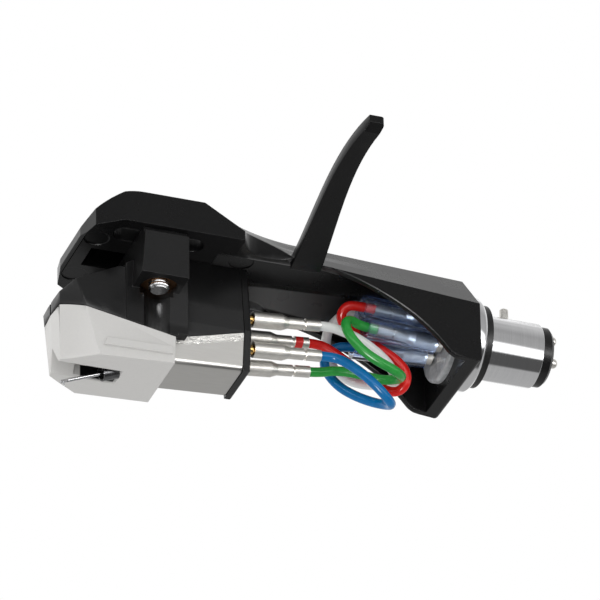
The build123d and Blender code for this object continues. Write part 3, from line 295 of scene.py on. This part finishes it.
BLACK_GRAIN = grain(4200, 0.25, 0.3, 0.12)
BLACK_TONES = (0.0034, 0.0034, 0.0036), (0.006, 0.006, 0.0063)
RED_INSULATION = (0.68, 0.01, 0.008)

shell_paint = material(
    "shell_paint", GRAIN, grain(5200, 0.2, 0.28, 0.08),
    (0.0038, 0.0038, 0.004), (0.0062, 0.0062, 0.0065), Specular_IOR_Level=0.26,
)
# painted light: a lighter tone inside the neck stands in for the light that falls up into the hood
tint(shell_paint, box_mask(shell_paint, NECK_PAINTED_LIGHT), (0.13, 0.13, 0.131))
black_plastic = material("black_plastic", GRAIN, BLACK_GRAIN, *BLACK_TONES, Specular_IOR_Level=0.45)
housing_plastic = twin(black_plastic, "housing_plastic")
dull(housing_plastic, HOUSING_CHEEKS, 0.45)
plug_plastic = material("plug_plastic", GRAIN, BLACK_GRAIN, *BLACK_TONES)
tint(plug_plastic, box_mask(plug_plastic, PLUG_FACE), (0.6, 0.59, 0.575))
holder_plastic = material(
    "holder_plastic", GRAIN, grain(3600, 0.05, 0.34, 0.08),
    (0.63, 0.622, 0.605), (0.65, 0.642, 0.625),
)
disc_plastic = material(
    "disc_plastic", GRAIN, grain(1600, 0.3, 0.45, 0.1), (0.28, 0.29, 0.3), (0.46, 0.47, 0.48),
)
gasket_rubber = material(
    "gasket_rubber", GRAIN, grain(4000, 0.2, 0.36, 0.1),
    (0.005, 0.005, 0.005), (0.009, 0.009, 0.009),
)
sleeve_plastic = material(
    "sleeve_plastic", GRAIN, grain(300, 0.02, 0.05, 0.02), (0.8, 0.87, 0.97), (0.82, 0.89, 0.98),
    IOR=1.14, Transmission_Weight=0.95, Coat_Weight=1.0, Coat_Roughness=0.06,
)
tint_edges(sleeve_plastic, 0.55, (0.1, 0.24, 0.62))
tip_stone = material(
    "tip_stone", GRAIN, grain(6000, 0.02, 0.08, 0.04), (0.7, 0.72, 0.74), (0.8, 0.82, 0.85),
    IOR=2.2, Transmission_Weight=0.6,
)
shield_metal = metal(
    "shield_metal", brush((260, 2600, 5200), 0.06, 0.3, 0.05),
    (0.63, 0.62, 0.595), (0.67, 0.66, 0.635),
)
film_strip(shield_metal, slope=0.2416, rise=1.61, width=1.3, rag=0.9, edge=0.15)
bayonet_metal = metal(
    "bayonet_metal", brush((7000, 150, 150), 0.06, 0.1, 0.04),
    (0.78, 0.78, 0.79), (0.85, 0.85, 0.86),
)
steel = metal(
    "steel", brush((3000, 3000, 400), 0.15, 0.25, 0.12), (0.42, 0.42, 0.43), (0.58, 0.58, 0.59),
)
dark_steel = metal(
    "dark_steel", brush((400, 3000, 3000), 0.15, 0.28, 0.12), (0.1, 0.1, 0.105), (0.2, 0.2, 0.205),
)
screw_metal = material(
    "screw_metal", THREAD, {"Pitch": 0.00045, "Depth": 1.0, "Rough": 0.14, "Swing": 0.1},
    (0.55, 0.55, 0.56), (0.8, 0.8, 0.81), Metallic=1.0,
)
insert_metal = metal(
    "insert_metal", brush((500, 500, 4200), 0.3, 0.3, 0.12), (0.26, 0.14, 0.07), (0.42, 0.22, 0.11),
)
pin_metal = metal(
    "pin_metal", brush((5200, 400, 400), 0.15, 0.18, 0.1), (0.66, 0.4, 0.13), (0.82, 0.54, 0.2),
)
clip_metal = metal(
    "clip_metal", brush((900, 3000, 3000), 0.25, 0.4, 0.12), (0.72, 0.7, 0.66), (0.88, 0.86, 0.815),
)
red_clip_metal = twin(clip_metal, "clip_metal_red")
bare_insulation(red_clip_metal, RED_CLIP_GAP, RED_INSULATION)
cantilever_metal = metal(
    "cantilever_metal", brush((5200, 600, 600), 0.15, 0.2, 0.1), (0.5, 0.5, 0.51), (0.7, 0.7, 0.71),
)
coil_wire = metal(
    "coil_wire", brush((9000, 300, 300), 0.6, 0.35, 0.15),
    (0.32, 0.13, 0.06), (0.55, 0.26, 0.13), metallic=0.8,
)
WIRE_TONES = {
    "white": ((0.8, 0.8, 0.79), (0.85, 0.85, 0.84)),
    "red": (RED_INSULATION, (0.78, 0.016, 0.013)),
    "green": ((0.02, 0.28, 0.04), (0.03, 0.34, 0.055)),
    "blue": ((0.0, 0.14, 0.38), (0.001, 0.165, 0.44)),
}
wire_skins = {
    colour: material(
        f"wire_{colour}", GRAIN, grain(1500, 0.05, 0.22, 0.06), *tones, Specular_IOR_Level=0.3,
    )
    for colour, tones in WIRE_TONES.items()
}

LOOKS = {
    "headshell": shell_paint, "bayonet_barrel": bayonet_metal, "gasket": gasket_rubber,
    "locking_pin": clip_metal, "contact_insulator": black_plastic, "terminal_disc": disc_plastic,
    "cartridge_housing": housing_plastic, "shield_case": shield_metal,
    "terminal_plate": black_plastic, "channel_screen": steel, "stylus_holder": holder_plastic,
    "stylus_plug": plug_plastic, "suspension_tube": dark_steel, "tension_wire": steel,
    "damper": gasket_rubber, "cantilever": cantilever_metal, "stylus_tip": tip_stone,
}
for side in SIDES:
    LOOKS |= {
        f"mounting_screw_{side}": screw_metal, f"washer_{side}": steel,
        f"threaded_insert_{side}": insert_metal, f"coil_{side}": coil_wire,
        f"pole_core_{side}": steel, f"magnet_{side}": steel,
    }
for colour in COLOURS:
    LOOKS |= {
        f"contact_pin_{colour}": clip_metal, f"terminal_pin_{colour}": pin_metal,
        f"front_clip_{colour}": clip_metal, f"rear_clip_{colour}": clip_metal,
        f"sleeve_{colour}": sleeve_plastic, f"lead_{colour}": wire_skins[colour],
    }
LOOKS["front_clip_red"] = red_clip_metal
for name, look in LOOKS.items():
    mesh = nodes[name].data
    mesh.materials.clear()
    mesh.materials.append(look)


# Leads: the same routes as the solids, in millimetres here, smoothed by a spline
ROUTES = {
    "white": [
        (-18.9, -2.25, -2.4), (-16.7, -2.3, -3.1), (-14.5, -2.0, -4.15), (-12.5, -1.5, -5.35),
        (-11.1, -0.3, -6.4), (-10.3, 1.6, -6.0), (-10.9, 3.2, -5.6), (-12.6, 4.2, -5.4),
        (-14.8, 4.6, -5.2), (-16.7, 4.9, -4.1), (-17.8, 5.0, -2.2), (-18.2, 4.8, 0.0),
        (-18.0, 4.0, 1.7),
    ],
    "red": [
        (-19.0, 1.7, -2.8), (-16.8, 1.9, -3.9), (-14.3, 2.1, -5.5), (-12.2, 1.7, -7.2),
        (-10.8, 0.6, -8.1), (-9.9, -0.4, -7.5), (-9.8, -0.8, -5.9), (-11.1, -1.0, -4.5),
        (-12.8, -0.8, -3.4), (-14.4, -0.3, -2.1), (-16.0, -0.05, -1.05), (-17.4, -0.05, -0.6),
        (-18.4, -0.9, 0.45), (-17.9, -1.8, 1.5),
    ],
    "green": [
        (-18.4, 1.0, -6.1), (-15.9, 0.4, -6.4), (-13.4, -0.1, -7.1), (-11.7, -1.3, -7.5),
        (-11.4, -3.2, -8.1), (-12.5, -5.0, -8.8), (-13.9, -5.8, -8.7), (-15.6, -5.9, -8.1),
        (-17.5, -5.9, -7.0), (-19.0, -5.8, -5.3), (-19.5, -5.4, -3.6), (-18.9, -4.5, -2.3),
        (-17.8, -3.5, -1.5),
    ],
    "blue": [
        (-19.1, -2.6, -6.7), (-18.0, -3.5, -7.9), (-16.7, -4.3, -9.4), (-15.2, -4.6, -10.9),
        (-13.6, -4.0, -12.0), (-12.5, -2.3, -11.7), (-12.7, -0.5, -10.7), (-13.8, 1.0, -9.7),
        (-15.4, 2.1, -8.6), (-17.2, 2.8, -7.3), (-18.5, 3.2, -5.6), (-19.0, 3.4, -4.0),
        (-18.7, 3.2, -2.8), (-17.9, 2.7, -2.0),
    ],
}
# Each clip's pin, and the way that the clip and its lead leave it
FRONT_PINS = {
    "white": ((-31.0, -2.2, -3.0), (1, 0.0, 0.08)),
    "red": ((-31.0, 2.2, -3.0), (1, -0.04, 0.06)),
    "green": ((-31.0, 2.2, -7.2), (1, -0.06, 0.07)),
    "blue": ((-31.0, -2.2, -7.2), (1, 0.0, 0.08)),
}
REAR_PINS = {
    "white": ((-5.4, 1.55, 1.55), (-1, 0.0, 0.13)),
    "red": ((-5.4, -1.55, 1.55), (-1, -0.035, 0.01)),
    "green": ((-5.4, -1.55, -1.55), (-1, -0.1, 0.0)),
    "blue": ((-5.4, 1.55, -1.55), (-1, 0.045, -0.02)),
}
LEAD_RADIUS = 0.6
CLIP_LENGTH = 8.65
FRONT_SEAT = 0.8
REAR_SEAT = 0.3
FRONT_RUN = 1.3
REAR_RUN = 2.2


def lead_points(colour):
    """All control points of a lead, from its front clip to its rear clip."""
    front_pin, front_way = (Vector(values) for values in FRONT_PINS[colour])
    rear_pin, rear_way = (Vector(values) for values in REAR_PINS[colour])
    front_way.normalize()
    rear_way.normalize()
    start = front_pin + front_way * (FRONT_SEAT + CLIP_LENGTH)
    end = rear_pin + rear_way * (REAR_SEAT + CLIP_LENGTH)
    route = [Vector(point) for point in ROUTES[colour]]
    return [start, start + front_way * FRONT_RUN, *route, end + rear_way * REAR_RUN, end]


def lead_curve(colour):
    """A lead's smooth line, as a curve with no thickness yet."""
    data = bpy.data.curves.new(f"route_{colour}", "CURVE")
    data.dimensions = "3D"
    data.resolution_u = 12
    points = lead_points(colour)
    spline = data.splines.new("NURBS")
    spline.points.add(len(points) - 1)
    for slot, point in zip(spline.points, points):
        slot.co = (*(point * MM), 1)
    spline.order_u = 3
    spline.use_endpoint_u = True
    return bpy.data.objects.new(f"route_{colour}", data)


for colour in COLOURS:
    curve = lead_curve(colour)
    line = bpy.data.meshes.new_from_object(curve)
    bpy.data.meshes.remove(line)
    curve.data.bevel_depth = LEAD_RADIUS * MM
    curve.data.bevel_resolution = 6
    curve.data.use_fill_caps = True
    tube = bpy.data.meshes.new_from_object(curve)
    for polygon in tube.polygons:
        polygon.use_smooth = True
    tube.materials.clear()
    tube.materials.append(wire_skins[colour])
    lead = bpy.data.objects.new(f"wire_{colour}", tube)
    scene.collection.objects.link(lead)
    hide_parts(f"lead_{colour}")
    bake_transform(lead)


# Rounded edges, with all sizes in millimetres

def add_bevel(node, label, width, segments):
    bevel = node.modifiers.new(label, "BEVEL")
    bevel.width = width * MM
    bevel.segments = segments
    bevel.use_clamp_overlap = False
    bevel.harden_normals = True
    return bevel


def soften(name, width, broader=()):
    """Rounds a node's sharp edges, and some sets of its edges more broadly.

    Each of the broader sets has a label, a width, a number of segments and a test of a vertex.
    """
    node = nodes[name]
    weld = node.modifiers.new("seam_join", "WELD")
    weld.merge_threshold = 0.002 * MM
    flat = node.modifiers.new("flat_faces", "DECIMATE")
    flat.decimate_type = "DISSOLVE"
    flat.angle_limit = radians(0.05)
    for label, broad_width, segments, chosen in broader:
        group = node.vertex_groups.new(name=label)
        inside = [vertex.index for vertex in node.data.vertices if chosen(*(vertex.co / MM))]
        group.add(inside, 1.0, "REPLACE")
        broad = add_bevel(node, label, broad_width, segments)
        broad.limit_method = "VGROUP"
        broad.vertex_group = label
    edges = add_bevel(node, "edge_round", width, 2)
    edges.limit_method = "ANGLE"
    edges.angle_limit = radians(28)


HOOD_SIDE = 7.4
HOOD_INSIDE = 6.55
RIM_FRONT = -22.5
RIM_INSIDE_FRONT = -22.3
RIM_REAR = -5
RIM_TOP = 2.99
HEEL_FRONT = -2.7
HEEL_TOP = -6.5
LIFT_TIP_INNER = -27.3
LIFT_TIP_FRONT = -22.3
TOUCH = 0.01


def on_rim(side, front):
    """A test for one edge of the hood's scooped rim."""
    def chosen(x, y, z):
        return abs(abs(y) - side) < TOUCH and front < x < RIM_REAR and z < RIM_TOP
    return chosen


def on_hood_heel(x, y, z):
    return x > HEEL_FRONT and z < HEEL_TOP


def on_lift_tip(x, y, z):
    return y < LIFT_TIP_INNER and x > LIFT_TIP_FRONT


soften("headshell", 0.07, [
    ("scoop_rim", 0.14, 3, on_rim(HOOD_SIDE, RIM_FRONT)),
    ("rim_inside", 0.14, 3, on_rim(HOOD_INSIDE, RIM_INSIDE_FRONT)),
    ("hood_heel", 0.6, 4, on_hood_heel),
    ("lift_tip", 0.5, 4, on_lift_tip),
])
soften("cartridge_housing", 0.06)
soften("stylus_holder", 0.06)
soften("shield_case", 0.1)
soften("bayonet_barrel", 0.12)


# Camera: angles and distance fitted to the photograph, focal length and centre in its pixels
IMAGE_SIZE = 600
SENSOR = 36
AZIMUTH = radians(-20.719)
ELEVATION = radians(-30.761)
ROLL = radians(-1.199)
DISTANCE = 0.8
FOCAL = 6548.678
ORIGIN_AT = (490.0, 349.078)
SHIFT_X = 0.0015


def photo_camera():
    """The camera at the photograph's angle."""
    back = Vector((sin(AZIMUTH) * cos(ELEVATION), -cos(AZIMUTH) * cos(ELEVATION), sin(ELEVATION)))
    level = Vector((cos(AZIMUTH), sin(AZIMUTH), 0))
    rise = back.cross(level)
    right = level * cos(ROLL) + rise * sin(ROLL)
    up = rise * cos(ROLL) - level * sin(ROLL)
    across, down = ((pixel - IMAGE_SIZE / 2) / FOCAL * DISTANCE for pixel in ORIGIN_AT)
    spot = back * DISTANCE - right * across + up * down + Vector((SHIFT_X, 0, 0))
    data = bpy.data.cameras.new("camera")
    data.lens = FOCAL / IMAGE_SIZE * SENSOR
    data.sensor_width = SENSOR
    data.clip_start = 0.01
    camera = bpy.data.objects.new("camera", data)
    camera.matrix_world = Matrix.Translation(spot) @ Matrix((right, up, back)).transposed().to_4x4()
    scene.collection.objects.link(camera)
    return camera


scene.camera = photo_camera()


# Studio light, white surroundings and floor
MIDDLE = (-0.03, 0, 0)


def area_light(name, spot, size, power, mirrored=False):
    """A soft lamp aimed at the part, or with mirrored a panel that shows in reflections alone."""
    data = bpy.data.lights.new(name, "AREA")
    data.shape = "RECTANGLE"
    data.size, data.size_y = size
    data.energy = power
    light = bpy.data.objects.new(name, data)
    light.visible_glossy = mirrored
    light.visible_diffuse = not mirrored
    aim = (Vector(MIDDLE) - Vector(spot)).to_track_quat("-Z", "Y")
    light.matrix_world = Matrix.Translation(spot) @ aim.to_matrix().to_4x4()
    scene.collection.objects.link(light)


area_light("left", (-0.62, 0.3, 0.1), (0.5, 0.5), 0.8)
area_light("front", (-0.1, -0.65, 0.15), (0.5, 0.5), 0.7)
area_light("under", (-0.15, -0.2, -0.6), (0.6, 0.4), 0.45)
area_light("spark", (-0.34, -0.48, -0.56), (0.25, 0.25), 6.0, mirrored=True)

# What polished parts reflect: pale walls, a bright panel in front and a dark band below it,
# each with its angle above straight ahead in degrees and its brightness
PANELS = [
    (-180, 0.45), (-125, 0.44), (-88, 0.42), (-78, 0.09), (-30, 0.09), (-24, 1.5), (-16, 1.5),
    (-13, 6), (-7, 6), (-4, 1.5), (6, 1.5), (13, 0.42), (60, 0.36), (100, 0.62), (112, 0.62),
    (124, 1.0), (160, 1.06), (180, 0.45),
]


def panel_colour(tree):
    """The brightness of the studio's walls by the angle of a reflected ray."""
    axes = split_axes(tree, add_node(tree, "ShaderNodeTexCoord").outputs["Generated"])
    ahead = work_out(tree, "MULTIPLY", axes["Y"], -1)
    angle = work_out(tree, "ARCTAN2", axes["Z"], ahead)
    turn = add_node(tree, "ShaderNodeMapRange", in_Value=angle, in_From_Min=-pi, in_From_Max=pi)
    bands = add_node(tree, "ShaderNodeValToRGB", in_Fac=turn.outputs["Result"])
    stops = bands.color_ramp.elements
    for degrees, tone in PANELS:
        place = (degrees + 180) / 360
        stop = stops[0] if place == 0 else stops[-1] if place == 1 else stops.new(place)
        stop.color = (tone, tone, tone, 1)
    return bands.outputs["Color"]


def mixed_shader(tree, amount, first, second):
    node = add_node(tree, "ShaderNodeMixShader", in_Fac=amount)
    feed(tree, node.inputs[1], first.outputs[0])
    feed(tree, node.inputs[2], second.outputs[0])
    return node


def studio_world():
    """Soft white light, panels for reflections, and plain white behind and through the part."""
    world = bpy.data.worlds.new("studio")
    world.use_nodes = True
    tree = world.node_tree
    soft = tree.nodes["Background"]
    soft.inputs["Color"].default_value = (1, 1, 1, 1)
    soft.inputs["Strength"].default_value = 0.8
    white = add_node(tree, "ShaderNodeBackground", in_Color=(1, 1, 1, 1), in_Strength=1.0)
    walls = add_node(tree, "ShaderNodeBackground", in_Color=panel_colour(tree))
    rays = add_node(tree, "ShaderNodeLightPath").outputs
    seen = work_out(tree, "MAXIMUM", rays["Is Camera Ray"], rays["Is Transmission Ray"])
    lit = mixed_shader(tree, rays["Is Glossy Ray"], soft, walls)
    whole = mixed_shader(tree, seen, lit, white)
    feed(tree, tree.nodes["World Output"].inputs["Surface"], whole.outputs[0])
    return world


def paper_floor():
    """A plain pale floor well under the part."""
    mesh = bpy.data.meshes.new("floor")
    form = bmesh.new()
    bmesh.ops.create_grid(form, x_segments=1, y_segments=1, size=3.0)
    form.to_mesh(mesh)
    form.free()
    paper = grain(60, 0.05, 0.8, 0.05)
    mesh.materials.append(
        material("floor_paper", GRAIN, paper, (0.82, 0.82, 0.82), (0.84, 0.84, 0.84))
    )
    floor = bpy.data.objects.new("floor", mesh)
    floor.location = (0, 0, -1.3)
    floor.visible_glossy = False
    scene.collection.objects.link(floor)
    return floor


scene.world = studio_world()
scene.view_settings.view_transform = "Standard"
paper_floor()
